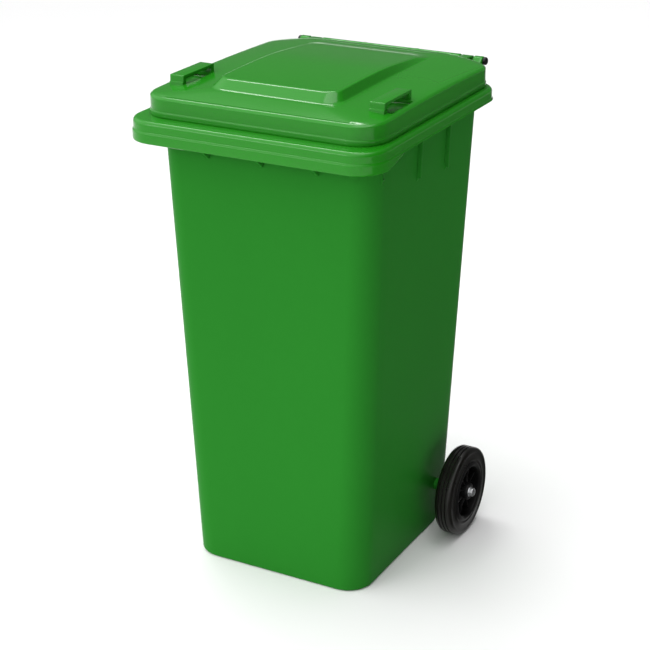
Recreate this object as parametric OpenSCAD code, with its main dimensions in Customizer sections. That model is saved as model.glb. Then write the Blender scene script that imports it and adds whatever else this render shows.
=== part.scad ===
// Two-wheeled refuse container with a hinged lid. Millimetres. The origin is on the floor, under the
// middle of the rim. +X is to the right seen from the front, -Y is the front, +Z is up.

/* [Rim] */
// Width over the comb rim
rim_w = 480; // [460:1:500]
// Depth of the rim, front to back
rim_d = 509.6; // [500:0.2:511]
// Height of the rim's top face
rim_top = 852.3; // [845:0.1:870]
// Height of the rim's skirt along the sides and back
rim_h = 19.8; // [16:0.1:24]
// Height of the deeper skirt along the front
rim_front_h = 37.8; // [34:0.1:44]
// Corner radius of the rim
rim_r = 54; // [46:1:58]

/* [Tub] */
// Outer width at the bottom
tub_w_low = 352; // [340:1:360]
// Outer width at the top
tub_w_top = 421; // [410:1:428]
// Wall thickness of the mouldings
wall = 4; // [3:0.5:5]

/* [Lid] */
// Width of the lid's skirt
lid_w = 446; // [436:1:450]
// Height of the lid's skirt at its outer edge
lid_skirt = 35; // [30:1:38]
// Height of the raised panel above the rim's top face
panel_rise = 60.7; // [56:0.1:64]
// Wall thickness of the lid
lid_t = 3.5; // [3:0.5:4]

/* [Wheels] */
// Outer diameter of the tyre
tyre_d = 170; // [166:1:174]
// Width of the tyre
tyre_w = 37; // [34:1:38]
// Diameter of the steel axle
axle_d = 15; // [14:0.5:16]

/* [Hidden] */

green = [0.10, 0.42, 0.10];
black = [0.06, 0.06, 0.06];
rubber = [0.09, 0.09, 0.09];
steel = [0.66, 0.67, 0.68];

rim_y = rim_d / 2;
rim_x = rim_w / 2;
band_step = 1.5;
// Tub outline at the floor and at its top: front edge, back edge, corner radius
low_y0 = -176;
low_y1 = 204.5;
low_r = 53;
top_y0 = -192.5;
top_y1 = 237;
top_r = 48;
base_t = 5;
// Ribs under the rim
rib_t = 5;
rib_pitch = 105;
// Recess at the lower back that the axle crosses
recess_y = 88;
recess_z = 130;
heel_z = 22;

lid_x = lid_w / 2;
lid_y0 = -219;
lid_y1 = 254.8;
lid_r = 50;
lip = 1.2;
lip_h = 9;
fit_gap = 0.3;
lid_z = rim_top + fit_gap;
edge_z = lid_z + lid_skirt;
crown_z = rim_top + 47.2;
rear_z = rim_top + 41.7;
panel_z = rim_top + panel_rise;

grip_x0 = 178;
grip_x1 = 205;
grip_y0 = -150;
grip_y1 = -50;
grip_z = rim_top + 56.2;
grip_t = 5;
grip_foot = 10;

hinge_y = 284;
hinge_z = rim_top + 27.9;
pin_r = 4;
run_gap = 0.05;
ear_r = 8;
ear_in = 123;
ear_in_w = 20;
ear_out = 170.5;
ear_out_w = 18;
lug_r = 7.5;
lug_x = 146;
lug_w = 21.5;
bar_r = 8;

axle_r = axle_d / 2;
wheel_y = 133.6;
wheel_z = tyre_d / 2;
wheel_x = 231.5;
boss_r = 22;
boss_x = 208;
seat_r = 55;
hub_r = 16;
hub_x = 251;
washer_r = 12;
cap_x = 250.2;
axle_x = 257.5;

$fn = 64;

// Rounded rectangle, symmetric in X
module outline(hx, y0, y1, r) {
    square_w = 2 * hx;
    translate([-hx, y0 + r]) square([square_w, y1 - y0 - 2 * r]);
    translate([-hx + r, y0]) square([square_w - 2 * r, y1 - y0]);
    for (sx = [-1, 1]) {
        translate([sx * (hx - r), y0 + r]) circle(r);
        translate([sx * (hx - r), y1 - r]) circle(r);
    }
}

module slab(hx, y0, y1, r, z0, z1) {
    translate([0, 0, z0]) linear_extrude(z1 - z0) outline(hx, y0, y1, r);
}

// A plate standing in the YZ plane, drawn with (y, z) points
module yz_plate(x0, w) {
    translate([x0, 0, 0]) rotate([90, 0, 90]) linear_extrude(w) children();
}

// A plate standing in the XZ plane, drawn with (x, z) points
module xz_plate(y0, w) {
    translate([0, y0 + w, 0]) rotate([90, 0, 0]) linear_extrude(w) children();
}

module x_rod(x0, x1, y, z, r) {
    translate([x0, y, z]) rotate([0, 90, 0]) cylinder(h = x1 - x0, r = r);
}

module tub_solid(inset, z_low, z_top) {
    hull() {
        slab(tub_w_low / 2 - inset, low_y0 + inset, low_y1 - inset, low_r - inset, z_low, z_low + 1, $fn = 32);
        slab(tub_w_top / 2 - inset, top_y0 + inset, top_y1 - inset, top_r - inset, z_top - 1, z_top, $fn = 32);
    }
}

module rim() {
    z_band = rim_top - rim_h;
    z_low = rim_top - rim_front_h;
    // Top face and upper band
    difference() {
        slab(rim_x - band_step, -rim_y + band_step, rim_y - band_step, rim_r - band_step, z_band, rim_top);
        slab(rim_x - wall, -rim_y + wall, rim_y - wall, rim_r - wall, z_band - 1, rim_top - wall);
    }
    // Lower band, deep along the front and cut away along the sides
    difference() {
        slab(rim_x, -rim_y, rim_y, rim_r, z_low, z_band + 2);
        slab(rim_x - wall, -rim_y + wall, rim_y - wall, rim_r - wall, z_low - 1, z_band + 3);
        yz_plate(-rim_x - 1, rim_w + 2)
            polygon([[-198, z_low - 1], [-144, z_band - 2], [rim_y + 1, z_band - 2], [rim_y + 1, z_low - 1]]);
    }
}

module front_rib(x) {
    yz_plate(x - rib_t / 2, rib_t)
        polygon([[-252, rim_top - 3], [-252, rim_top - 34], [-214, rim_top - 48], [-194, rim_top - 67],
                 [-187, rim_top - 67], [-187, rim_top - 3]]);
}

// Half width of the tub at a height
function tub_x(z) = (tub_w_low + (tub_w_top - tub_w_low) * z / rim_top) / 2;

// Rib standing out from the wall by a number of millimetres, from the rim down to z_end
module side_rib(y, out, z_end) {
    for (s = [0, 1])
        mirror([s, 0, 0])
            xz_plate(y - rib_t / 2, rib_t)
                polygon([[198, rim_top - 3], [tub_x(rim_top) + out, rim_top - 3], [tub_x(z_end) + out, z_end + 2],
                         [tub_x(z_end) + out - 2, z_end], [tub_x(z_end) + 3, z_end],
                         [tub_x(z_end) - 0.5, z_end - 9], [198, z_end - 9]]);
}

// Bracket from the back of the rim to the hinge line
module ear(x0, w) {
    yz_plate(x0, w) {
        polygon([[250, rim_top - 18], [262, rim_top - 18], [277, hinge_z - 7.5], [hinge_y + 2, hinge_z - 7.5],
                 [hinge_y, hinge_z + 7.8], [279, hinge_z + 6], [257.5, hinge_z - 10], [257.5, rim_top - 1.5],
                 [250, rim_top - 1.5]]);
        translate([hinge_y, hinge_z]) circle(ear_r);
    }
}

module rear_handle() {
    for (s = [0, 1])
        mirror([s, 0, 0]) {
            ear(ear_in, ear_in_w);
            ear(ear_out, ear_out_w);
            ear(36, 8);
        }
    x_rod(-ear_in - 6, ear_in + 6, hinge_y, hinge_z, bar_r);
}

module container() {
    color(green)
    difference() {
        union() {
            difference() {
                union() {
                    tub_solid(0, 0, rim_top - 1);
                    rim();
                    for (i = [-1:1]) front_rib(i * rib_pitch);
                    side_rib(-158, 0.5, 785);
                    side_rib(-26, 7.5, 749);
                    side_rib(86.5, 7.5, 737);
                    for (s = [0, 1])
                        mirror([s, 0, 0]) x_rod(172, boss_x, wheel_y, wheel_z, boss_r);
                }
                difference() {
                    tub_solid(wall, base_t, rim_top + 2);
                    translate([-rim_x, recess_y - wall, 0]) cube([rim_w, 200, recess_z + wall]);
                }
                // Recess between the two cheeks, open downwards and backwards
                translate([-168, recess_y, -1]) cube([336, 200, recess_z + 1]);
                translate([-rim_x, recess_y, -1]) cube([rim_w, 200, heel_z + 1]);
            }
            rear_handle();
        }
        x_rod(-rim_x, rim_x, wheel_y, wheel_z, axle_r);
        for (s = [0, 1])
            mirror([s, 0, 0]) x_rod(119, 200, hinge_y, hinge_z, pin_r);
    }
}

module grip() {
    for (y = [grip_y0, grip_y1 - grip_foot])
        translate([grip_x0, y, edge_z - 6]) cube([grip_x1 - grip_x0, grip_foot, grip_z - edge_z + 6 - grip_t / 2]);
    translate([grip_x0, grip_y0, grip_z - grip_t]) cube([grip_x1 - grip_x0, grip_y1 - grip_y0, grip_t]);
}

module lug() {
    yz_plate(lug_x, lug_w) {
        polygon([[250, lid_z + 14], [272, hinge_z - 7], [hinge_y, hinge_z - lug_r], [hinge_y, hinge_z + lug_r],
                 [266, rear_z - 5], [250, rear_z - 3.5]]);
        translate([hinge_y, hinge_z]) circle(lug_r);
    }
}

module lid_solid(t, z_low) {
    hull() {
        slab(lid_x - t, lid_y0 + t, lid_y1 - t, lid_r - t, z_low, edge_z - 5 - t, $fn = 32);
        slab(lid_x - 3 - t, lid_y0 + 3 + t, lid_y1 - 3 - t, lid_r - 3 - t, edge_z - 1 - t, edge_z - t, $fn = 32);
        slab(118, -152, 206, 30, crown_z - 1 - t, crown_z - t, $fn = 32);
        slab(100 - t, 150, lid_y1 - 3 - t, 20, rear_z - 1 - t, rear_z - t, $fn = 32);
    }
}

module panel_solid(t) {
    hull() {
        slab(122 - t, -172 + t, 212 - t, 34 - t, crown_z - 12 - t, crown_z - 0.4 - t, $fn = 32);
        slab(113 - t, -141 + t, 178 - t, 24 - t, panel_z - 1 - t, panel_z - t, $fn = 32);
    }
}

module lid() {
    color(green)
    difference() {
        union() {
            lid_solid(0, lid_z);
            panel_solid(0);
            slab(lid_x + lip, lid_y0 - lip, lid_y1 + lip, lid_r + lip, lid_z, lid_z + lip_h);
            for (s = [0, 1])
                mirror([s, 0, 0]) {
                    grip();
                    lug();
                }
        }
        lid_solid(lid_t, lid_z - 1);
        panel_solid(lid_t);
        for (s = [0, 1])
            mirror([s, 0, 0]) x_rod(lug_x - 1, lug_x + lug_w + 1, hinge_y, hinge_z, pin_r + run_gap);
    }
}

module hinge_pin() {
    x_rod(121, 190, hinge_y, hinge_z, pin_r);
    x_rod(189, 194, hinge_y, hinge_z, 7.2);
    x_rod(193, 196, hinge_y, hinge_z, 5.6);
}

module axle() {
    color(steel) x_rod(-axle_x, axle_x, wheel_y, wheel_z, axle_r);
}

// Axisymmetric part on the right wheel's centre, drawn with (radius, outward) points
module on_wheel() {
    translate([wheel_x, wheel_y, wheel_z]) rotate([0, 90, 0]) rotate_extrude() children();
}

module tyre() {
    hw = tyre_w / 2;
    ro = tyre_d / 2;
    on_wheel()
        polygon([[seat_r, -hw + 3], [seat_r + 5, -hw + 1], [ro - 12, -hw], [ro - 6, -hw + 0.5],
                 [ro - 2, -hw + 3], [ro, -hw + 7],
                 [ro, -9], [ro - 2, -8.5], [ro - 2, -6.5], [ro, -6],
                 [ro, -1], [ro - 2, -0.5], [ro - 2, 1.5], [ro, 2],
                 [ro, 7], [ro - 2, 7.5], [ro - 2, 9.5], [ro, 10],
                 [ro, hw - 3], [ro - 3, hw], [ro - 8, hw - 1], [ro - 10, hw - 2.5], [ro - 23, hw - 2.5],
                 [ro - 24.5, hw - 0.5], [seat_r, hw - 0.5]]);
}

module wheel() {
    hw = tyre_w / 2;
    difference() {
        union() {
            on_wheel()
                polygon([[49, -hw + 3], [seat_r, -hw + 3], [seat_r, hw - 0.5], [51, hw], [48.6, hw - 1.5],
                         [50, hw - 4]]);
            on_wheel() polygon([[12, -hw + 3], [50, -hw + 3], [50, -hw + 7.5], [12, -hw + 7.5]]);
            x_rod(wheel_x - 21.5, hub_x, wheel_y, wheel_z, hub_r);
            for (a = [0:7])
                translate([wheel_x, wheel_y, wheel_z])
                    rotate([a * 45 + 22.5, 0, 0])
                        translate([-hw + 4, -1.5, 13]) cube([hw + 4, 3, 37]);
        }
        x_rod(wheel_x - 25, wheel_x + 25, wheel_y, wheel_z, axle_r + run_gap);
        // Seat for the outer washer
        x_rod(248, hub_x + 1, wheel_y, wheel_z, washer_r + 0.6);
    }
}

module washer(x0) {
    difference() {
        x_rod(x0, x0 + 1.6, wheel_y, wheel_z, washer_r);
        x_rod(x0 - 1, x0 + 3, wheel_y, wheel_z, axle_r + 0.4);
    }
}

module axle_cap() {
    difference() {
        union() {
            x_rod(cap_x, cap_x + 1.6, wheel_y, wheel_z, 10.5);
            x_rod(cap_x + 1, 259, wheel_y, wheel_z, 8.8);
            x_rod(258, 261, wheel_y, wheel_z, 6.5);
        }
        x_rod(cap_x - 1, axle_x, wheel_y, wheel_z, axle_r);
    }
}

container();
lid();
color(black) mirror([1, 0, 0]) hinge_pin();  // hinge_pin_left
color(black) hinge_pin();  // hinge_pin_right
axle();
color(rubber) mirror([1, 0, 0]) tyre();  // tyre_left
color(rubber) tyre();  // tyre_right
color(black) mirror([1, 0, 0]) wheel();  // wheel_left
color(black) wheel();  // wheel_right
color(steel) mirror([1, 0, 0]) washer(boss_x);  // washer_inner_left
color(steel) washer(boss_x);  // washer_inner_right
color(steel) mirror([1, 0, 0]) washer(248.3);  // washer_outer_left
color(steel) washer(248.3);  // washer_outer_right
color(steel) mirror([1, 0, 0]) axle_cap();  // axle_cap_left
color(steel) axle_cap();  // axle_cap_right
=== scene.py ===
"""Finished look of a two-wheeled refuse container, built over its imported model.

Sizes inside the helpers are in millimetres, in the model's own frame: the origin is on the floor under
the middle of the rim, +X to the right seen from the front, -Y the front and +Z up.
"""

import math

import bmesh
import bpy
from bpy.props import FloatProperty, FloatVectorProperty, IntProperty, PointerProperty
from mathutils import Matrix, Vector


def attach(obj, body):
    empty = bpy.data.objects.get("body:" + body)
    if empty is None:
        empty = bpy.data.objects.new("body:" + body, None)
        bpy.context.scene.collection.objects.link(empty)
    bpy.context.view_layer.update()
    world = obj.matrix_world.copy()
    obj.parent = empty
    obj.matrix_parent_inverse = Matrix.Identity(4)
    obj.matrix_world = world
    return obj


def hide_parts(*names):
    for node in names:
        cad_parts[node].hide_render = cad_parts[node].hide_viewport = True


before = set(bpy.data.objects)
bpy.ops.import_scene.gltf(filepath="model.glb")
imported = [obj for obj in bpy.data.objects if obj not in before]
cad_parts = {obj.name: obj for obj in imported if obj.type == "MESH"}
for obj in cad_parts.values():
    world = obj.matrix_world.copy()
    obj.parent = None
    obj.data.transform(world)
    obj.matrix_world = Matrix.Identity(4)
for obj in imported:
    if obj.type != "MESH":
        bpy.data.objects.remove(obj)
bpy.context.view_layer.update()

bl_info = {
    "name": "Wheeled refuse container",
    "version": (1, 0, 0),
    "blender": (4, 5, 0),
    "location": "View3D > Sidebar > Container",
    "description": "Moulded tub, lid, hinge, wheels and axle of a two-wheeled refuse container, with its stage",
    "category": "Add Mesh",
}

MM = 0.001

# Sizes of the model that the looks follow. An outline is (half width, front, rear, corner radius).
TUB_LOW = (176.5, -177.5, 204.5, 49.0)
TUB_TOP = (210.5, -192.5, 238.5, 43.0)
TUB_TOP_Z = 850.8
FLOOR_Z = 5.0
WALL = 4.0
RIM = (240.0, -254.8, 254.8, 54.0)
RIM_TOP = 852.3
RIM_UNDER = 848.3
RIM_STEP = 1.9
BAND_Z = 832.5
FRONT_Z = 814.5
RIB = 5.0
RECESS_X, RECESS_Y, RECESS_Z = 168, 88, 130
HEEL_Y, HEEL_Z = 140, 22
LID = (223.0, -219.0, 254.8, 50.0)
LID_WALL = 3.5
LID_FOOT = 852.6
PANEL_LOW = (126.0, -169.0, 224.0, 36.0)
PANEL_TOP = (113.0, -141.0, 178.0, 24.0)
PANEL_FLAT = (107.0, -135.0, 172.0, 18.0)
PANEL_MIDDLE = (7.0, -18.0, 18.0, 6.0)
POCKET_Z = 889.5
HINGE = (284.0, 880.2)
BAR_R = 8
LUG_R = 7.5
PIN_R = 4
WHEEL = (231.5, 133.6, 85.0)
TYRE_R = 85
AXLE_BORE = 7.52
CAMERA_PLACE = (1.40988, -2.55528, 1.64814)
CAMERA_ROLL = math.radians(-0.384)


# ---------------------------------------------------------------- shaping tools


def held(t):
    """Number kept between 0 and 1."""
    return max(0.0, min(1.0, t))


def eased_step(t):
    """Smooth step from 0 to 1, level at both ends."""
    t = held(t)
    return t * t * (3 - 2 * t)


def blend_shape(a, b, t):
    """Outline between outlines a and b."""
    return tuple(p + (q - p) * t for p, q in zip(a, b))


def grown(shape, by):
    """Outline moved outwards all round by a number of millimetres."""
    hx, y0, y1, r = shape
    return (hx + by, y0 - by, y1 + by, max(r + by, 1.0))


def ring(shape, z, corner=12, side=14):
    """Points round a rounded rectangle, at a height or at a height that depends on (x, y)."""
    hx, y0, y1, r = shape
    arcs = ((hx - r, y1 - r, 0), (-hx + r, y1 - r, 90), (-hx + r, y0 + r, 180), (hx - r, y0 + r, 270))
    flat = []
    for k, (cx, cy, start) in enumerate(arcs):
        for i in range(corner + 1):
            a = math.radians(start + 90 * i / corner)
            flat.append((cx + r * math.cos(a), cy + r * math.sin(a)))
        nx, ny, nstart = arcs[(k + 1) % 4]
        b = math.radians(nstart)
        ex, ey = nx + r * math.cos(b), ny + r * math.sin(b)
        sx, sy = flat[-1]
        for i in range(1, side):
            t = i / side
            flat.append((sx + (ex - sx) * t, sy + (ey - sy) * t))
    return [Vector((x, y, z(x, y) if callable(z) else z)) * MM for x, y in flat]


def loft(name, rings):
    """Closed solid through a list of rings of equal length, capped at both ends."""
    bm = bmesh.new()
    rows = [[bm.verts.new(p) for p in points] for points in rings]
    n = len(rows[0])
    for lower, upper in zip(rows, rows[1:]):
        for i in range(n):
            j = (i + 1) % n
            bm.faces.new((lower[i], lower[j], upper[j], upper[i]))
    bm.faces.new(rows[0])
    bm.faces.new(rows[-1])
    return from_bmesh(name, bm)


def from_bmesh(name, bm):
    """Object from a bmesh, with its normals facing outwards."""
    bmesh.ops.recalc_face_normals(bm, faces=bm.faces)
    mesh = bpy.data.meshes.new(name)
    bm.to_mesh(mesh)
    bm.free()
    thing = bpy.data.objects.new(name, mesh)
    bpy.context.scene.collection.objects.link(thing)
    return thing


def rounded(points, radii, steps=6):
    """Corner points with each corner turned into an arc of its own radius."""
    n = len(points)
    out = []
    for i in range(n):
        p = Vector(points[i])
        r = radii[i]
        before, after = Vector(points[i - 1]) - p, Vector(points[(i + 1) % n]) - p
        if r <= 0:
            out.append(p)
            continue
        angle = before.angle(after)
        reach = min(r / math.tan(angle / 2), before.length * 0.49, after.length * 0.49)
        start, end = p + before.normalized() * reach, p + after.normalized() * reach
        for k in range(steps + 1):
            t = k / steps
            out.append((1 - t) ** 2 * start + 2 * t * (1 - t) * p + t**2 * end)
    return out


def plate(name, outline, place, width, edge, steps=2):
    """Flat plate with rounded edges: a 2D outline, thickened, set out by place(u, v, w)."""
    bm = bmesh.new()
    base = [bm.verts.new((u * MM, v * MM, 0)) for u, v in outline]
    face = bm.faces.new(base)
    top = bmesh.ops.extrude_face_region(bm, geom=[face])
    raised = [g for g in top["geom"] if isinstance(g, bmesh.types.BMVert)]
    bmesh.ops.translate(bm, verts=raised, vec=(0, 0, width * MM))
    bmesh.ops.recalc_face_normals(bm, faces=bm.faces)
    rims = [e for e in bm.edges if abs(e.verts[0].co.z - e.verts[1].co.z) < 1e-7]
    bmesh.ops.bevel(
        bm, geom=rims, offset=edge * MM, segments=steps, affect="EDGES", profile=0.5, clamp_overlap=True
    )
    for v in bm.verts:
        v.co = Vector(place(v.co.x / MM, v.co.y / MM, v.co.z / MM)) * MM
    return from_bmesh(name, bm)


def along_x(x0):
    """A plate drawn with (y, z) points, thick towards +X from x0."""
    return lambda u, v, w: (x0 + w, u, v)


def along_y(y0):
    """A plate drawn with (x, z) points, thick towards +Y from y0."""
    return lambda u, v, w: (u, y0 + w, v)


def turned(name, profile, centre, steps=96):
    """Turned solid from (along, radius) points, about a line along X through centre."""
    bm = bmesh.new()
    cx, cy, cz = centre
    rows = []
    for along, radius in profile:
        row = []
        for i in range(steps):
            a = 2 * math.pi * i / steps
            c, s = radius * math.cos(a), radius * math.sin(a)
            row.append(bm.verts.new(Vector((cx + along, cy + c, cz + s)) * MM))
        rows.append(row)
    closed = profile[0] == profile[-1]
    if closed:
        for v in rows[-1]:
            bm.verts.remove(v)
        rows[-1] = rows[0]
    for a, b in zip(rows, rows[1:]):
        for i in range(steps):
            j = (i + 1) % steps
            bm.faces.new((a[i], a[j], b[j], b[i]))
    if not closed:
        bm.faces.new(rows[0])
        bm.faces.new(rows[-1])
    return from_bmesh(name, bm)


def soft_profile(points, radii, steps=4):
    """(along, radius) points with softened corners, closed into a loop."""
    soft = [(p.x, p.y) for p in rounded(points, radii, steps)]
    return soft + soft[:1]


def joined(name, things):
    """One object out of several."""
    bm = bmesh.new()
    for thing in things:
        bm.from_mesh(thing.data)
        bpy.data.objects.remove(thing)
    mesh = bpy.data.meshes.new(name)
    bm.to_mesh(mesh)
    bm.free()
    whole = bpy.data.objects.new(name, mesh)
    bpy.context.scene.collection.objects.link(whole)
    return whole


def mirrored(thing, name):
    """Copy of a piece, mirrored to the other side of the object."""
    mesh = thing.data.copy()
    mesh.transform(Matrix.Scale(-1, 4, (1, 0, 0)))
    mesh.flip_normals()
    twin = bpy.data.objects.new(name, mesh)
    bpy.context.scene.collection.objects.link(twin)
    return twin


def settle(thing, sharp=38.0):
    """Applies the modifiers, then shades smooth with crisp edges above an angle."""
    graph = bpy.context.evaluated_depsgraph_get()
    mesh = bpy.data.meshes.new_from_object(thing.evaluated_get(graph))
    thing.modifiers.clear()
    thing.data = mesh
    for face in mesh.polygons:
        face.use_smooth = True
    mesh.set_sharp_from_angle(angle=math.radians(sharp))
    return thing


def combine(thing, tool, kind):
    """Boolean of thing with tool, applied, and the tool removed."""
    step = thing.modifiers.new(kind, "BOOLEAN")
    step.operation = kind
    step.object = tool
    step.solver = "EXACT"
    bpy.context.view_layer.update()
    graph = bpy.context.evaluated_depsgraph_get()
    mesh = bpy.data.meshes.new_from_object(thing.evaluated_get(graph))
    thing.modifiers.clear()
    thing.data = mesh
    bpy.data.objects.remove(tool)
    return thing


def block(name, low, high, edge=0.0, steps=3):
    """Rectangular cutter or pad between two corners, with rounded edges."""
    bm = bmesh.new()
    bmesh.ops.create_cube(bm, size=1)
    for v in bm.verts:
        v.co = Vector([(a + b) / 2 + (b - a) * c for a, b, c in zip(low, high, v.co)]) * MM
    if edge > 0:
        bmesh.ops.bevel(
            bm, geom=list(bm.edges), offset=edge * MM, segments=steps, affect="EDGES", profile=0.5
        )
    return from_bmesh(name, bm)


def dressed(thing, material, body, stands_for=()):
    """Gives a piece its material and its body, and hides the model parts it stands for."""
    thing.data.materials.clear()
    thing.data.materials.append(material)
    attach(thing, body)
    if stands_for:
        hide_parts(*stands_for)
    return thing


# ---------------------------------------------------------------- materials


class Nodes:
    """Short way to lay out a material's nodes."""

    def __init__(self, name):
        self.material = bpy.data.materials.new(name)
        self.material.use_nodes = True
        self.tree = self.material.node_tree
        self.shader = self.tree.nodes["Principled BSDF"]

    def add(self, kind, **values):
        """New node, with some of its settings."""
        node = self.tree.nodes.new(kind)
        for key, value in values.items():
            setattr(node, key, value)
        return node

    def join(self, a, b):
        """Link from an output to an input."""
        self.tree.links.new(a, b)

    def spread(self, scale, detail=4.0, stretch=(1, 1, 1)):
        """Noise in the object's own space, at a number of cells per metre."""
        place = self.add("ShaderNodeTexCoord")
        fit = self.add("ShaderNodeMapping")
        fit.inputs["Scale"].default_value = stretch
        noise = self.add("ShaderNodeTexNoise")
        noise.inputs["Scale"].default_value = scale
        noise.inputs["Detail"].default_value = detail
        self.join(place.outputs["Object"], fit.inputs["Vector"])
        self.join(fit.outputs["Vector"], noise.inputs["Vector"])
        return noise.outputs["Fac"]

    def between(self, value, low, high, out_low, out_high):
        """Maps a value range onto another."""
        node = self.add("ShaderNodeMapRange")
        for key, number in zip(
            ("From Min", "From Max", "To Min", "To Max"), (low, high, out_low, out_high)
        ):
            node.inputs[key].default_value = number
        self.join(value, node.inputs["Value"])
        return node.outputs["Result"]

    def tones(self, value, stops):
        """Colour ramp over a value."""
        node = self.add("ShaderNodeValToRGB")
        ramp = node.color_ramp
        while len(ramp.elements) < len(stops):
            ramp.elements.new(0.5)
        for element, (at, colour) in zip(ramp.elements, stops):
            element.position = at
            element.color = (*colour, 1)
        self.join(value, node.inputs["Fac"])
        return node.outputs["Color"]

    def times(self, value, number):
        """Value multiplied by a number."""
        node = self.add("ShaderNodeMath", operation="MULTIPLY")
        self.join(value, node.inputs[0])
        node.inputs[1].default_value = number
        return node.outputs[0]

    def plus(self, a, b):
        """Sum of two values."""
        node = self.add("ShaderNodeMath", operation="ADD")
        self.join(a, node.inputs[0])
        self.join(b, node.inputs[1])
        return node.outputs[0]

    def bumps(self, height, strength, distance):
        """Fine relief from a height, on the shader's normal."""
        node = self.add("ShaderNodeBump")
        node.inputs["Strength"].default_value = strength
        node.inputs["Distance"].default_value = distance
        self.join(height, node.inputs["Height"])
        self.join(node.outputs["Normal"], self.shader.inputs["Normal"])


def shade(colour, by):
    """Colour made lighter or darker by a factor."""
    return tuple(min(1.0, c * by) for c in colour)


def moulded_green(name, colour, rough, gloss):
    """Glossy injection-moulded polyethylene: flow marks, fine grain, light scuffs."""
    m = Nodes(name)
    flow = m.spread(3.0, 3.0, (1.0, 1.0, 0.35))
    fine = m.spread(260.0, 3.0)
    scuff = m.spread(38.0, 8.0, (1.0, 1.0, 0.25))
    tone = m.plus(m.times(flow, 0.8), m.times(fine, 0.2))
    m.join(
        m.tones(tone, ((0.30, shade(colour, 0.96)), (0.52, colour), (0.72, shade(colour, 1.04)))),
        m.shader.inputs["Base Color"],
    )
    marks = m.between(scuff, 0.58, 0.80, 0.0, 0.05)
    m.join(m.plus(m.between(flow, 0.3, 0.7, rough - 0.03, rough + 0.03), marks), m.shader.inputs["Roughness"])
    m.bumps(m.plus(m.times(fine, 0.2), m.times(flow, 0.8)), 0.05, 0.0006)
    m.shader.inputs["Specular IOR Level"].default_value = gloss
    return m.material


def solid_rubber(name, colour):
    """Black solid tyre rubber with a dull bloom and dust in the grain."""
    m = Nodes(name)
    grain = m.spread(900.0, 4.0)
    bloom = m.spread(26.0, 5.0)
    m.join(
        m.tones(bloom, ((0.3, shade(colour, 0.8)), (0.55, colour), (0.8, shade(colour, 1.5)))),
        m.shader.inputs["Base Color"],
    )
    m.join(m.between(bloom, 0.3, 0.7, 0.26, 0.34), m.shader.inputs["Roughness"])
    m.bumps(m.plus(grain, bloom), 0.18, 0.0004)
    m.shader.inputs["Specular IOR Level"].default_value = 0.30
    return m.material


def black_plastic(name, colour):
    """Black moulded plastic with a light grain."""
    m = Nodes(name)
    grain = m.spread(700.0, 3.0)
    cloud = m.spread(22.0, 4.0)
    m.join(
        m.tones(cloud, ((0.35, shade(colour, 0.85)), (0.65, shade(colour, 1.2)))),
        m.shader.inputs["Base Color"],
    )
    m.join(m.between(cloud, 0.3, 0.7, 0.34, 0.46), m.shader.inputs["Roughness"])
    m.bumps(grain, 0.12, 0.0003)
    m.shader.inputs["Specular IOR Level"].default_value = 0.30
    return m.material


def plated_steel(name, colour, rough):
    """Zinc-plated steel: drawn lines round the part and a faint spangle."""
    m = Nodes(name)
    lines = m.spread(180.0, 4.0, (0.05, 1.0, 1.0))
    spangle = m.spread(95.0, 6.0)
    m.join(
        m.tones(spangle, ((0.35, shade(colour, 0.86)), (0.65, shade(colour, 1.06)))),
        m.shader.inputs["Base Color"],
    )
    m.join(m.between(lines, 0.3, 0.7, rough - 0.06, rough + 0.10), m.shader.inputs["Roughness"])
    m.bumps(m.plus(lines, spangle), 0.10, 0.0002)
    m.shader.inputs["Metallic"].default_value = 1.0
    return m.material


def pale_floor(name, colour):
    """Plain matt studio floor."""
    m = Nodes(name)
    m.shader.inputs["Base Color"].default_value = (*colour, 1)
    m.shader.inputs["Roughness"].default_value = 0.9
    m.shader.inputs["Specular IOR Level"].default_value = 0.1
    return m.material


FINISHES = {}


def finish(key, make, *values):
    """One material for each finish, made when it is first asked for."""
    if key not in FINISHES:
        FINISHES[key] = make(key, *values)
    return FINISHES[key]


def tub_green(settings):
    """Satin green of the tub."""
    return finish("tub_moulding", moulded_green, tuple(settings.tub_green), settings.tub_roughness, settings.tub_gloss)


def lid_green(settings):
    """Glossy green of the lid, the rim and the rear handle."""
    return finish("lid_moulding", moulded_green, tuple(settings.lid_green), settings.lid_roughness, settings.lid_gloss)


def black_of(settings):
    """Black of the wheels and hinge pins."""
    return finish("black_moulding", black_plastic, tuple(settings.black))


# ---------------------------------------------------------------- sizes a user may change


class ContainerSizes(bpy.types.PropertyGroup):
    """Sizes of the container's moulding."""

    foot_round: FloatProperty(
        name="Foot round", description="Radius of the tub's bottom edge", default=6 * MM, min=2 * MM, max=16 * MM,
        unit="LENGTH",
    )
    rim_round: FloatProperty(
        name="Rim round", description="Radius of the rim's top edge", default=7 * MM, min=2 * MM, max=8 * MM,
        unit="LENGTH",
    )
    rib_edge: FloatProperty(
        name="Rib edge", description="Rounding of the ribs under the rim", default=1.2 * MM, min=0.3 * MM,
        max=2 * MM, unit="LENGTH",
    )


class LidSizes(bpy.types.PropertyGroup):
    """Sizes of the lid's moulding."""

    edge_round: FloatProperty(
        name="Edge chamfer", description="Size of the lid's top edge", default=5 * MM, min=3 * MM, max=9 * MM,
        unit="LENGTH",
    )
    arch: FloatProperty(
        name="Arch", description="Rise of the lid's edge from front to middle", default=4.4 * MM, min=0.0,
        max=6 * MM, unit="LENGTH",
    )
    pocket: FloatProperty(
        name="Pocket depth", description="Depth of the finger pocket under each grip", default=5 * MM,
        min=2 * MM, max=12 * MM, unit="LENGTH",
    )


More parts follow.
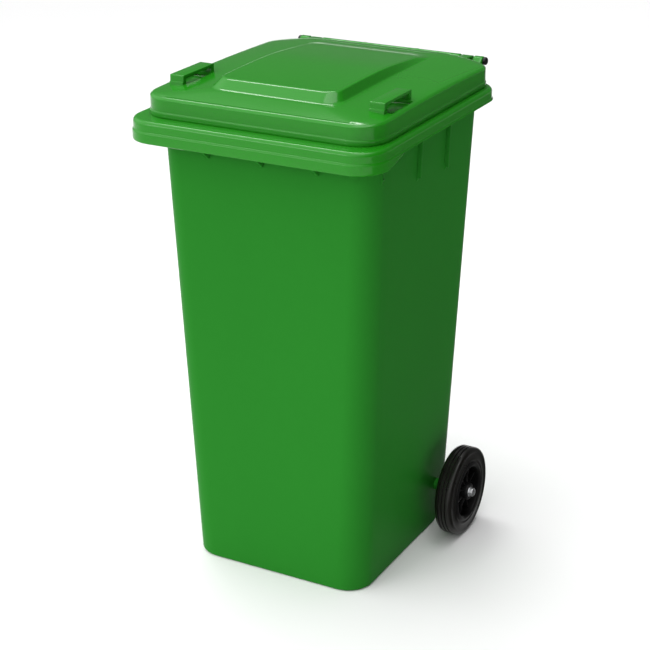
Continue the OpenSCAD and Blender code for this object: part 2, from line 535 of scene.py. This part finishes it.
class WheelSizes(bpy.types.PropertyGroup):
    """Sizes of the wheels."""

    spokes: IntProperty(name="Spokes", description="Ribs on each face of a wheel", default=8, min=5, max=12)
    groove: FloatProperty(
        name="Groove", description="Depth of the tread grooves", default=2.2 * MM, min=1 * MM, max=4 * MM,
        unit="LENGTH",
    )


class Finishes(bpy.types.PropertyGroup):
    """Colours of the mouldings and metal."""

    tub_green: FloatVectorProperty(
        name="Tub green", description="Colour of the tub", default=(0.019, 0.190, 0.018), size=3,
        subtype="COLOR", min=0, max=1,
    )
    lid_green: FloatVectorProperty(
        name="Lid green", description="Colour of the lid and rim", default=(0.014, 0.217, 0.008), size=3,
        subtype="COLOR", min=0, max=1,
    )
    black: FloatVectorProperty(
        name="Black", description="Colour of the wheels and pins", default=(0.005, 0.005, 0.005), size=3,
        subtype="COLOR", min=0, max=1,
    )
    rubber: FloatVectorProperty(
        name="Rubber", description="Colour of the tyres", default=(0.008, 0.0075, 0.006), size=3,
        subtype="COLOR", min=0, max=1,
    )
    steel: FloatVectorProperty(
        name="Steel", description="Colour of the axle and caps", default=(0.62, 0.63, 0.64), size=3,
        subtype="COLOR", min=0, max=1,
    )
    tub_roughness: FloatProperty(
        name="Tub roughness", description="Roughness of the tub's plastic", default=0.36, min=0.1, max=0.8,
        subtype="FACTOR",
    )
    lid_roughness: FloatProperty(
        name="Lid roughness", description="Roughness of the lid's plastic", default=0.15, min=0.1, max=0.8,
        subtype="FACTOR",
    )
    tub_gloss: FloatProperty(
        name="Tub gloss", description="Strength of the tub's reflections", default=0.02, min=0, max=1,
        subtype="FACTOR",
    )
    lid_gloss: FloatProperty(
        name="Lid gloss", description="Strength of the lid's reflections", default=0.32, min=0, max=1,
        subtype="FACTOR",
    )


class StageSizes(bpy.types.PropertyGroup):
    """Floor, light and camera."""

    turn: FloatProperty(
        name="Turn", description="Camera's turn to the object's right", default=math.radians(28.679),
        subtype="ANGLE",
    )
    height: FloatProperty(
        name="Height angle", description="Camera's angle above the horizon", default=math.radians(22.665),
        subtype="ANGLE",
    )
    focal: FloatProperty(
        name="Focal length", description="Camera's lens, in millimetres on a 36 mm sensor", default=95.73,
        min=20, max=300,
    )
    top_power: FloatProperty(
        name="Top light", description="Power of the softbox above and behind, in watts", default=24.0, min=0, max=2000,
    )
    front_power: FloatProperty(
        name="Front strip", description="Power of the narrow strip at the front left, in watts", default=12.0,
        min=0, max=2000,
    )
    overhead_power: FloatProperty(
        name="Overhead light", description="Power of the light straight above, in watts", default=57.0, min=0,
        max=2000,
    )
    scrim: FloatProperty(
        name="Scrim", description="Strength of the surround above the front left", default=1.85, min=0, max=5,
    )
    rear_fill: FloatProperty(
        name="Rear fill", description="Strength of the surround low behind", default=0.16, min=0, max=5,
    )


# ---------------------------------------------------------------- container


def tub_at(z):
    """The tub's outer outline at a height."""
    z0 = 0.5
    return blend_shape(TUB_LOW, TUB_TOP, held((z - z0) / (TUB_TOP_Z - z0)))


def skirt_bottom(x, y):
    """Height of the rim's lower edge: deep along the front, shallow along the sides and back."""
    return FRONT_Z + (BAND_Z - 2.5 - FRONT_Z) * eased_step((y + 198.0) / 54.0)


def container_rings(foot, edge):
    """Rings of the tub and its rim, from the underside, up the outside, over the rim and down the inside."""
    rings = []

    def at(by, z, base=None):
        rings.append(ring(grown(tub_at(z) if base is None else base, by), z))

    # Underside, with its raised middle, and the rounded foot
    low = TUB_LOW
    for by, z in ((-62, 3.4), (-30, 3.2), (-24, 3.0), (-21, 1.6), (-19.5, 0.4), (-18, 0), (-foot, 0)):
        at(by, z, low)
    for k in range(1, 7):
        a = math.radians(15 * k)
        at(-foot + foot * math.sin(a), foot - foot * math.cos(a), low if k < 3 else None)

    # Outer wall, flared under the rim
    wall_top, flare, flare_z = 806, 12, 832
    for k in range(1, 17):
        at(0, foot + (wall_top - foot) * k / 16)
    for k in range(0, 7):
        a = math.radians(15 * k)
        at(flare * (1 - math.cos(a)), flare_z + 16.3 * math.sin(a))

    # Hollow of the rim: out under its top, then down inside its skirt
    inner = grown(RIM, -WALL)
    neck = grown(tub_at(RIM_UNDER), flare)
    skirt_in = 846.3
    for t in (0.35, 0.7):
        rings.append(ring(blend_shape(neck, grown(inner, -2), t), RIM_UNDER))
    for by, z in ((-2, RIM_UNDER), (-0.6, 847.7), (0, skirt_in)):
        rings.append(ring(grown(inner, by), z))
    for t in (0.3, 0.6, 0.85, 1.0):
        rings.append(ring(inner, lambda x, y, t=t: skirt_in + (skirt_bottom(x, y) + 2 - skirt_in) * t))

    # Rounded lower edge of the skirt, then up its outside over the band
    for k in range(1, 6):
        a = math.radians(180 + 36 * k)
        by = -2 + 2 * math.cos(a)
        rings.append(ring(grown(RIM, by), lambda x, y, a=a: skirt_bottom(x, y) + 2 + 2 * math.sin(a)))
    for t in (0.15, 0.5, 0.85):
        rings.append(ring(RIM, lambda x, y, t=t: skirt_bottom(x, y) + 2 + (BAND_Z - 1.2 - skirt_bottom(x, y) - 2) * t))
    band = ((0, -1.8), (-0.08, -1.0), (-0.35, -0.5), (-1.35, 1.2), (-1.7, 1.8), (-RIM_STEP, 2.6), (-RIM_STEP, 4))
    for by, dz in band:
        rings.append(ring(grown(RIM, by), BAND_Z + dz))
    rings.append(ring(grown(RIM, -RIM_STEP), RIM_TOP - edge - 0.6))

    # Rounded top edge, level top and the mouth's edge
    for k in range(0, 7):
        a = math.radians(15 * k)
        rings.append(ring(grown(RIM, -RIM_STEP - edge + edge * math.cos(a)), RIM_TOP - edge + edge * math.sin(a)))
    mouth = grown(tub_at(TUB_TOP_Z), -WALL)
    outer = grown(RIM, -RIM_STEP - edge)
    for t in (0.12, 0.5, 0.85):
        rings.append(ring(blend_shape(outer, grown(mouth, 3.5), t), RIM_TOP))
    for k in range(0, 5):
        a = math.radians(22.5 * k)
        rings.append(ring(grown(mouth, 3 - 3 * math.sin(a)), RIM_TOP - 3 + 3 * math.cos(a)))

    # Inner wall, down to a rounded floor
    inside_top, bend = 848, 23
    inside_low = FLOOR_Z + bend
    for k in range(1, 14):
        at(-WALL, inside_top + (inside_low - inside_top) * k / 13)
    for k in range(1, 6):
        a = math.radians(18 * k)
        at(-WALL - bend * (1 - math.cos(a)), inside_low - bend * math.sin(a))
    at(-62, FLOOR_Z)
    return rings


def shell(foot, edge):
    """Tub with its rim, floor and the recess that the axle crosses."""
    tub = loft("tub", container_rings(foot, edge))
    bulk = loft("bulk", [ring(grown(tub_at(z), -1.5), z) for z in (1.0, 60, 120, 180, 240)])
    span = block("span", (-230, RECESS_Y - WALL, -5), (230, 300, RECESS_Z + WALL))
    tub = combine(tub, combine(bulk, span, "INTERSECT"), "UNION")
    recess = block("recess", (-RECESS_X, RECESS_Y, -60), (RECESS_X, 320, RECESS_Z), 12, 4)
    tub = combine(tub, recess, "DIFFERENCE")
    return combine(tub, block("heel", (-260, HEEL_Y, -40), (260, 320, HEEL_Z), 4, 3), "DIFFERENCE")


def rim_ribs(edge):
    """Ribs between the tub and the rim: three under the front and three down each side."""
    things = []
    front = rounded(
        [(-251.5, 849), (-251.5, 819), (-216, 803), (-194, 785), (-186, 785), (-186, 849)], [0, 3, 8, 2, 0, 0]
    )
    for x in (-105, 0, 105):
        things.append(plate("rib", front, along_x(x - RIB / 2), RIB, edge))
    for y, out, end in ((-158, 0.5, 785), (-26, 7.5, 749), (86.5, 7.5, 737)):
        wall = tub_at(end)[0]
        side = rounded(
            [(203, 849), (tub_at(849)[0] + out, 849), (wall + out, end), (wall + 3, end), (wall - 1.5, end - 9),
             (wall - 4, end - 9)],
            [0, 0, 1.8, 2, 0, 0],
        )
        rib = plate("rib", side, along_y(y - RIB / 2), RIB, edge)
        things += [rib, mirrored(rib, "rib")]
    return joined("rim_ribs", things)


def hinge_arc(radius):
    """Half circle behind the hinge line, from below to above, as (y, z) points."""
    turns = [math.radians(a) for a in range(-90, 91, 15)]
    return [(HINGE[0] + radius * math.cos(a), HINGE[1] + radius * math.sin(a)) for a in turns]


def bracket_outline():
    """Bracket from the rim's back up to the hinge line, as (y, z) points."""
    arc = hinge_arc(BAR_R)
    return rounded(
        [(250, 834.6), (261.5, 834.6), (277, 872.4)] + arc + [(278, 887.2), (257.7, 870), (257.7, 851.8), (250, 851.8)],
        [0, 4, 6] + [0] * len(arc) + [6, 5, 0, 0],
    )


def rear_handle():
    """Brackets and the bar between them, with a low collar outside each inner bracket."""
    things = []
    for x0, width in ((123, 20), (170.5, 18), (36, 8)):
        ear = plate("ear", bracket_outline(), along_x(x0), width, 1.2, 3)
        things += [ear, mirrored(ear, "ear")]
    half = [(50, BAR_R), (52, BAR_R + 0.5), (56, BAR_R + 0.5), (58, BAR_R), (125, BAR_R), (125, 0.5)]
    bar = [(-x, r) for x, r in reversed(half)] + half
    things.append(turned("bar", bar, (0, *HINGE), 48))
    return joined("rear_handle", things)


def axle_bosses():
    """Round housings that carry the axle out to the wheels."""
    section = [(165, AXLE_BORE), (165, 11), (182, 11), (207.9, 10.6), (207.9, AXLE_BORE)]
    boss = turned("boss", soft_profile(section, [0, 0, 3, 1.5, 1.0]), (0, *WHEEL[1:]), 64)
    return joined("axle_bosses", [boss, mirrored(boss, "boss")])


class CONTAINER_OT_tub(bpy.types.Operator):
    """Builds the container: tub, rim, ribs, rear handle and axle bosses."""

    bl_idname = "refuse.tub"
    bl_label = "Container"

    def execute(self, context):
        sizes, looks = context.scene.refuse_container, context.scene.refuse_finishes
        green = tub_green(looks)
        tub = settle(shell(sizes.foot_round / MM, sizes.rim_round / MM), 32)
        dressed(tub, green, "container", ("container",))
        tub.data.materials.append(lid_green(looks))
        wide, front, rear = TUB_TOP[0] + 2, TUB_TOP[1] - 2, TUB_TOP[2] + 1.5
        for face in tub.data.polygons:
            x, y, z = face.center / MM
            on_rim = abs(x) > wide or y < front or y > rear
            face.material_index = int(on_rim and z > FRONT_Z - 1.5)
        dressed(settle(rear_handle()), lid_green(looks), "container")
        for piece in (rim_ribs(sizes.rib_edge / MM), axle_bosses()):
            dressed(settle(piece), green, "container")
        return {"FINISHED"}


# ---------------------------------------------------------------- lid


def arch_at(y, middle, reach, rise):
    """Gentle front-to-back arch, from 0 at its ends to rise at its middle."""
    t = max(-1.0, min(1.0, (y - middle) / reach))
    return rise * math.cos(t * math.pi / 2)


def eased(t, soft=0.3):
    """Straight rise from 0 to 1 that starts with a soft curve."""
    low = t * t / (2 * soft) if t < soft else t - soft / 2
    return low / (1 - soft / 2)


def lid_edge_z(arch):
    """Height of the lid's outer edge: arched along the sides and raised along the middle of the back."""

    def height(x, y):
        side = 887.4 + arch * math.sin(math.pi * held((y + 219) / 474))
        across = held((abs(x) - 108) / 107)
        return side + 7.8 * eased_step((y - 196) / 52) * (0.5 + 0.5 * math.cos(math.pi * across))

    return height


def crown_z(x, y):
    """Height of the lid's top beside the raised panel."""
    return 896.2 + arch_at(y, 60, 262, 4.0)


def panel_z(x, y):
    """Height of the raised panel, arched from front to back."""
    return 914.6 - 4.4 * ((y + 8) / 180) ** 2 - 6.0 * eased_step((y - 10) / 190)


def lid_rings(edge, arch):
    """Rings of the lid from its inside, out under the skirt, up and over to the raised panel."""
    edge_z = lid_edge_z(arch)
    rings = []

    def add(shape, z, by=0.0, dz=0.0):
        rings.append(ring(grown(shape, by), (lambda x, y: z(x, y) + dz) if callable(z) else z + dz))

    outer = grown(LID, -edge)
    thick = LID_WALL

    # Inside of the panel and the crown
    for t in (1.0, 0.75, 0.5, 0.25):
        add(blend_shape(PANEL_FLAT, PANEL_MIDDLE, t), panel_z, 0, -thick)
    add(PANEL_TOP, panel_z, -thick, -thick - 0.6)
    add(PANEL_LOW, crown_z, -thick - 4, -thick + 0.5)
    add(PANEL_LOW, crown_z, 0, -thick)
    for t in (0.66, 0.33, 0.0):
        add(blend_shape(outer, PANEL_LOW, t), lambda x, y, t=t: edge_z(x, y) * (1 - t) + crown_z(x, y) * t, 0, -thick)

    # Inside of the skirt, down to its foot, and up over the lip outside
    for by, dz in ((-edge + 1.5, -thick - 0.6), (-thick - 1.5, -edge - 0.5), (-thick, -edge - 3)):
        add(LID, edge_z, by, dz)
    for z in (872, 862, 854.5):
        add(LID, z, -thick)
    for by, z in ((-3.0, 853.2), (-2.2, 852.75), (-1.4, LID_FOOT), (0.4, LID_FOOT), (1.0, 852.85), (1.2, 853.5),
                  (1.2, 857), (1.2, 860.2), (1.1, 860.9), (0.75, 861.4), (0.3, 861.8), (0.05, 862.5), (0, 863.5),
                  (0, 871)):
        add(LID, z, by)

    # Chamfered top edge, softened at both of its corners
    add(LID, edge_z, 0, -edge - 1.2)
    nose = ((0, -edge), (-0.06, -edge + 0.7), (-0.3, -edge + 1.3), (-0.75, -edge + 1.75),
            (-edge + 2.6, -2.0), (-edge + 1.8, -1.35), (-edge + 0.9, -0.85), (-edge - 0.2, -0.5),
            (-edge - 1.4, -0.25), (-edge - 2.8, -0.06))
    for by, dz in nose:
        add(LID, edge_z, by, dz)

    # Crown, up the panel's slope and over its top
    for t in (0.06, 0.15, 0.3, 0.45, 0.6, 0.75, 0.88, 1.0):
        z = lambda x, y, t=t: edge_z(x, y) * (1 - t) + crown_z(x, y) * t + 0.3 * math.sin(math.pi * t)
        add(blend_shape(outer, PANEL_LOW, t), z)
    for t in (0.05, 0.1, 0.15, 0.2, 0.25, 0.3, 0.5, 0.7, 0.88, 0.95):
        z = lambda x, y, t=t: crown_z(x, y) + (panel_z(x, y) - crown_z(x, y)) * eased(t)
        add(blend_shape(PANEL_LOW, PANEL_TOP, t), z)
    for by, dz in ((-0.5, -0.5), (-1.5, -0.18), (-3.0, -0.03), (-6, 0)):
        add(PANEL_TOP, panel_z, by, dz)
    for t in (0.15, 0.3, 0.45, 0.6, 0.75, 0.9, 1.0):
        add(blend_shape(PANEL_FLAT, PANEL_MIDDLE, t), panel_z)
    return rings


def grip():
    """Right-hand grip: a bridge with two feet and two small steps on its front foot."""
    y0, y1, top = -150, -50, 908.5
    outline = rounded(
        [(y0 - 9, 885.0), (y0 - 3.4, 889.6), (y0 - 1.2, 890.4), (y0 - 0.6, 896.8), (y0 + 1.4, 897.5), (y0 + 2.0, top),
         (y1, top), (y1, 890), (y1 + 6, 884), (y1 - 8, 884), (y1 - 8, top - 5), (y0 + 10, top - 5), (y0 + 10, 884)],
        [0, 0.6, 0.6, 0.5, 0.5, 2.0, 2.2, 5, 0, 0, 4, 4, 0],
    )
    return plate("grip", outline, along_x(178), 27, 1.6, 3)


def lug():
    """Right-hand hinge lug, turning on its pin."""
    arc = hinge_arc(LUG_R)
    outline = rounded(
        [(250.5, 866.5), (262, 868), (274, 872.8)] + arc + [(266, 889), (250.5, 890.5)],
        [0, 6, 4] + [0] * len(arc) + [8, 0],
    )
    return plate("lug", outline, along_x(146), 21.5, 1.2, 3)


def lid_shell(edge, arch, pocket):
    """Lid with a finger pocket under each grip."""
    lid = loft("lid_shell", lid_rings(edge, arch))
    for side in (-1, 1):
        x0, x1 = sorted((side * 168, side * 218))
        pad = block("pad", (x0, -147, POCKET_Z - pocket - 4), (x1, -53, POCKET_Z - 3), 1.5, 2)
        lid = combine(lid, pad, "UNION")
        x0, x1 = sorted((side * 173, side * 214))
        cut = block("cut", (x0, -139.5, POCKET_Z - pocket), (x1, -60.5, 905), 3.0, 3)
        lid = combine(lid, cut, "DIFFERENCE")
    return lid


class CONTAINER_OT_lid(bpy.types.Operator):
    """Builds the lid: skirt, crowned top, raised panel, grips and hinge lugs."""

    bl_idname = "refuse.lid"
    bl_label = "Lid"

    def execute(self, context):
        sizes, looks = context.scene.refuse_lid, context.scene.refuse_finishes
        green = lid_green(looks)
        lid = settle(lid_shell(sizes.edge_round / MM, sizes.arch / MM, sizes.pocket / MM), 30)
        dressed(lid, green, "lid", ("lid",))
        for name, right in (("lid_grips", grip()), ("lid_lugs", lug())):
            dressed(settle(joined(name, [right, mirrored(right, right.name)])), green, "lid")
        return {"FINISHED"}


# ---------------------------------------------------------------- hinge pins


class CONTAINER_OT_pins(bpy.types.Operator):
    """Builds the two hinge pins with their domed heads."""

    bl_idname = "refuse.pins"
    bl_label = "Hinge pins"

    def execute(self, context):
        black = black_of(context.scene.refuse_finishes)
        shank = [(121, 0.3), (121, 3.2), (122, PIN_R), (188.6, PIN_R)]
        head = [(188.7, 6.6), (189.3, 7.2), (192.6, 7.2), (194, 6.7), (195.2, 5.2), (195.8, 2.8), (196, 0.3)]
        right = turned("hinge_pin_right_piece", shank + head, (0, *HINGE), 40)
        left = mirrored(right, "hinge_pin_left_piece")
        for side, pin in (("right", right), ("left", left)):
            dressed(settle(pin), black, "container", (f"hinge_pin_{side}",))
        return {"FINISHED"}


# ---------------------------------------------------------------- wheels


def tyre_profile(groove):
    """Tyre section as (outwards, radius) points from the wheel's middle plane."""
    top = [(-17.8, 77.5), (-17.0, 80.4), (-15.2, 82.6), (-12.8, 84.0), (-11.2, 84.6)]
    for middle in (-8.2, -1.2, 5.8):
        top += [(middle - 1.5, TYRE_R), (middle - 1.0, 84.6), (middle - 0.7, TYRE_R - groove),
                (middle + 0.7, TYRE_R - groove), (middle + 1.0, 84.6), (middle + 1.5, TYRE_R)]
    top += [(11.5, TYRE_R), (14.2, 84.2), (16.2, 82.4), (17.2, 80.0), (17.4, 77.0), (16.8, 75.6), (16.5, 74.4),
            (16.5, 70), (16.6, 66), (16.9, 64.4), (17.5, 63.2), (17.7, 62.0), (17.5, 60.8), (16.9, 59.6),
            (16.6, 58.0), (16.2, 55)]
    side = [(-15.5, 55), (-16, 55.6), (-17, 57), (-17.7, 60), (-18.2, 66), (-18.4, 72)]
    return top + side + top[:1]


def on_axle(thing, angle):
    """Turns a wheel part about the axle and puts it on the right wheel's centre."""
    thing.data.transform(Matrix.Rotation(angle, 4, "X"))
    thing.data.transform(Matrix.Translation(Vector(WHEEL) * MM))
    return thing


def wheel_disc(spokes):
    """Plastic wheel: outer ring, web, long and short ribs, the ring between them and the hub."""
    band = turned(
        "ring",
        soft_profile(
            [(-15.5, 49.5), (-15.5, 54.95), (15.9, 54.95), (16.6, 57.8), (17.6, 57.4), (19.3, 53.6), (19.3, 52.0),
             (17.2, 48.9), (12, 48.6), (0, 49.4), (-8, 50.0)],
            [1, 0.8, 0, 0.3, 0.8, 1.4, 1.4, 1.6, 0, 0, 0], 5,
        ),
        WHEEL, 128,
    )
    web = turned("web", soft_profile([(-15.4, 12), (-15.4, 51), (-11, 51), (-11, 12)], [0, 0, 0, 0], 1), WHEEL, 96)
    hub = turned(
        "hub",
        soft_profile(
            [(-21.4, 7.55), (-21.4, 15), (-19, 16), (16, 16), (19.4, 15.6), (19.4, 9.9), (18.6, 9.9), (18.6, 12.7),
             (16.6, 12.7), (16.6, 7.55)],
            [0.4, 0.8, 1, 2, 1, 0.3, 0.2, 0.2, 0.4, 0.3], 3,
        ),
        WHEEL, 64,
    )
    section = [(-12, 27.4), (5, 26.8), (5, 29.6), (-12, 30.6)]
    collar = turned("collar", soft_profile(section, [0, 0.8, 0.8, 0], 2), WHEEL, 72)
    things = [band, web, hub, collar]
    long_rib = rounded([(-14, 14.5), (12.5, 14.5), (9.5, 26), (9, 50), (-14, 50)], [0, 3, 4, 0, 0])
    short_rib = rounded([(-13, 29.5), (4.5, 29.5), (5.5, 50), (-13, 50)], [0, 2, 2, 0])
    for k in range(spokes):
        angle = 2 * math.pi * (k + 0.5) / spokes
        long = plate("spoke", long_rib, lambda u, v, w: (u, w - 1.5, v), 3, 0.6)
        short = plate("fin", short_rib, lambda u, v, w: (u, w - 1.0, v), 2, 0.5)
        things += [on_axle(long, angle), on_axle(short, angle + math.pi / spokes)]
    return joined("wheel_right_piece", things)


class CONTAINER_OT_wheels(bpy.types.Operator):
    """Builds the tyres and the plastic wheels inside them."""

    bl_idname = "refuse.wheels"
    bl_label = "Wheels"

    def execute(self, context):
        sizes, looks = context.scene.refuse_wheels, context.scene.refuse_finishes
        rubber = finish("tyre_rubber_black", solid_rubber, tuple(looks.rubber))
        black = black_of(looks)
        tyre = turned("tyre_right_piece", tyre_profile(sizes.groove / MM), WHEEL, 128)
        disc = wheel_disc(sizes.spokes)
        pieces = ((tyre, "tyre", rubber, "tyre_rubber"), (disc, "wheel", black, "wheel_plastic"))
        for right, kind, material, slot in pieces:
            left = mirrored(right, f"{kind}_left_piece")
            for side, piece in (("right", right), ("left", left)):
                dressed(settle(piece, 30), material, f"wheel_{side}", (f"{kind}_{side}",))
        return {"FINISHED"}


# ---------------------------------------------------------------- axle


class CONTAINER_OT_axle(bpy.types.Operator):
    """Finishes the axle and washers, and builds the domed caps."""

    bl_idname = "refuse.axle"
    bl_label = "Axle"

    def execute(self, context):
        looks = context.scene.refuse_finishes
        steel = finish("plated_axle", plated_steel, tuple(looks.steel), 0.34)
        # The caps take the axle's steel made 1.45 times lighter: a painted highlight on the caps.
        highlit_cap_steel = finish("bright_cap", plated_steel, shade(tuple(looks.steel), 1.45), 0.30)
        names = ["axle"] + [f"washer_{place}_{side}" for place in ("inner", "outer") for side in ("left", "right")]
        for name in names:
            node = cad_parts[name]
            node.data.materials.clear()
            node.data.materials.append(steel)
        cap = turned(
            "axle_cap_right_piece",
            soft_profile(
                [(250.2, AXLE_BORE), (250.2, 9.1), (251.0, 9.4), (251.8, 9.1), (252.4, 8.4), (257.8, 8.1),
                 (260.4, 5.6), (261, 0.3), (257.6, 0.3), (257.6, AXLE_BORE)],
                [0, 0.2, 0.3, 0.4, 0.5, 2.0, 3.0, 0, 0, 0], 5,
            ),
            (0, *WHEEL[1:]), 56,
        )
        twin = mirrored(cap, "axle_cap_left_piece")
        for side, piece in (("right", cap), ("left", twin)):
            dressed(settle(piece, 30), highlit_cap_steel, "container", (f"axle_cap_{side}",))
        return {"FINISHED"}


# ---------------------------------------------------------------- stage


def light(name, place, aim, size, power):
    """White rectangular softbox at a place, turned to its aim."""
    lamp = bpy.data.lights.new(name, "AREA")
    lamp.shape = "RECTANGLE"
    lamp.size, lamp.size_y = size
    lamp.energy = power
    thing = bpy.data.objects.new(name, lamp)
    thing.location = place
    thing.rotation_euler = (Vector(aim) - Vector(place)).to_track_quat("-Z", "Y").to_euler()
    bpy.context.scene.collection.objects.link(thing)
    return thing


def glow(tree, way, start, full, strength):
    """Soft white lobe of surround light round one direction; gives its strength output."""
    place = tree.nodes.new("ShaderNodeTexCoord")
    along = tree.nodes.new("ShaderNodeVectorMath")
    along.operation = "DOT_PRODUCT"
    along.inputs[1].default_value = Vector(way).normalized()
    rise = tree.nodes.new("ShaderNodeMapRange")
    rise.interpolation_type = "SMOOTHSTEP"
    for key, number in (("From Min", start), ("From Max", full), ("To Min", 0.0), ("To Max", strength)):
        rise.inputs[key].default_value = number
    tree.links.new(place.outputs["Generated"], along.inputs[0])
    tree.links.new(along.outputs["Value"], rise.inputs["Value"])
    return rise.outputs["Result"]


def studio_surround(scrim, rear_fill):
    """White surround: a large scrim above the front left and a dim fill low at the rear left."""
    world = bpy.data.worlds.new("surround")
    world.use_nodes = True
    tree = world.node_tree
    back = tree.nodes["Background"]
    back.inputs["Color"].default_value = (1, 1, 1, 1)
    both = tree.nodes.new("ShaderNodeMath")
    both.operation = "ADD"
    tree.links.new(glow(tree, (-0.45, -0.55, 0.70), 0.0, 1.0, scrim), both.inputs[0])
    tree.links.new(glow(tree, (-0.50, 0.80, 0.35), 0.1, 0.9, rear_fill), both.inputs[1])
    tree.links.new(both.outputs["Value"], back.inputs["Strength"])
    return world


class CONTAINER_OT_stage(bpy.types.Operator):
    """Builds the floor, the lights, the surround and the camera."""

    bl_idname = "refuse.stage"
    bl_label = "Stage"

    def execute(self, context):
        scene, sizes = context.scene, context.scene.refuse_stage
        bm = bmesh.new()
        bmesh.ops.create_grid(bm, x_segments=8, y_segments=8, size=30)
        floor = from_bmesh("floor", bm)
        floor.data.materials.append(finish("studio_floor", pale_floor, (0.92, 0.92, 0.92)))

        # Card beside the container that only reflections see, so its side doesn't mirror the floor
        bm = bmesh.new()
        bmesh.ops.create_grid(bm, x_segments=4, y_segments=4, size=0.5)
        bmesh.ops.scale(bm, vec=(5.5, 8.0, 1), verts=bm.verts)
        bmesh.ops.translate(bm, vec=(3.02, 3.0, 0.001), verts=bm.verts)
        card = from_bmesh("dark_card", bm)
        card.data.materials.append(finish("dark_card", pale_floor, (0.08, 0.08, 0.08)))
        for sight in ("camera", "diffuse", "shadow", "transmission", "volume_scatter"):
            setattr(card, f"visible_{sight}", False)

        scene.world = studio_surround(sizes.scrim, sizes.rear_fill)
        lid_middle = (0, 0, 0.87)
        light("top", (-1.33, 1.35, 3.20), lid_middle, (1.5, 0.4), sizes.top_power)
        light("front_strip", (-1.42, -2.65, 1.97), lid_middle, (1.6, 0.22), sizes.front_power)
        light("overhead", (0.3, 0.2, 5.0), (0.3, 0.2, 0), (2.6, 2.6), sizes.overhead_power)

        a, e = sizes.turn, sizes.height
        back_way = Vector((math.sin(a) * math.cos(e), -math.cos(a) * math.cos(e), math.sin(e)))
        lens = bpy.data.cameras.new("camera")
        lens.lens = sizes.focal
        lens.sensor_width = 36
        lens.clip_end = 100
        camera = bpy.data.objects.new("camera", lens)
        camera.location = CAMERA_PLACE
        turn = (-back_way).to_track_quat("-Z", "Y")
        camera.rotation_euler = (turn.to_matrix() @ Matrix.Rotation(CAMERA_ROLL, 3, "Z")).to_euler()
        scene.collection.objects.link(camera)
        scene.camera = camera
        scene.view_settings.view_transform = "Standard"
        scene.view_settings.look = "None"
        return {"FINISHED"}


class CONTAINER_PT_panel(bpy.types.Panel):
    """Lists the container's sizes and builders."""

    bl_label = "Refuse container"
    bl_space_type = "VIEW_3D"
    bl_region_type = "UI"
    bl_category = "Container"

    def draw(self, context):
        """Draws the settings of each group, then a button for each builder."""
        for group in GROUPS:
            settings = getattr(context.scene, group)
            box = self.layout.box()
            for key in type(settings).__annotations__:
                box.prop(settings, key)
        for operator in OPERATORS:
            self.layout.operator(operator.bl_idname)


GROUPS = {
    "refuse_container": ContainerSizes,
    "refuse_lid": LidSizes,
    "refuse_wheels": WheelSizes,
    "refuse_finishes": Finishes,
    "refuse_stage": StageSizes,
}
OPERATORS = (
    CONTAINER_OT_tub,
    CONTAINER_OT_lid,
    CONTAINER_OT_pins,
    CONTAINER_OT_wheels,
    CONTAINER_OT_axle,
    CONTAINER_OT_stage,
)
CLASSES = (*GROUPS.values(), *OPERATORS, CONTAINER_PT_panel)


def register():
    """Adds the classes and the scene's settings."""
    for cls in CLASSES:
        bpy.utils.register_class(cls)
    for key, group in GROUPS.items():
        setattr(bpy.types.Scene, key, PointerProperty(type=group))


def unregister():
    """Takes the settings and the classes away again."""
    for key in GROUPS:
        delattr(bpy.types.Scene, key)
    for cls in reversed(CLASSES):
        bpy.utils.unregister_class(cls)


def main():
    """Builds every piece and the stage."""
    register()
    bpy.ops.refuse.tub()
    bpy.ops.refuse.lid()
    bpy.ops.refuse.pins()
    bpy.ops.refuse.wheels()
    bpy.ops.refuse.axle()
    bpy.ops.refuse.stage()


if __name__ == "__main__":
    main()
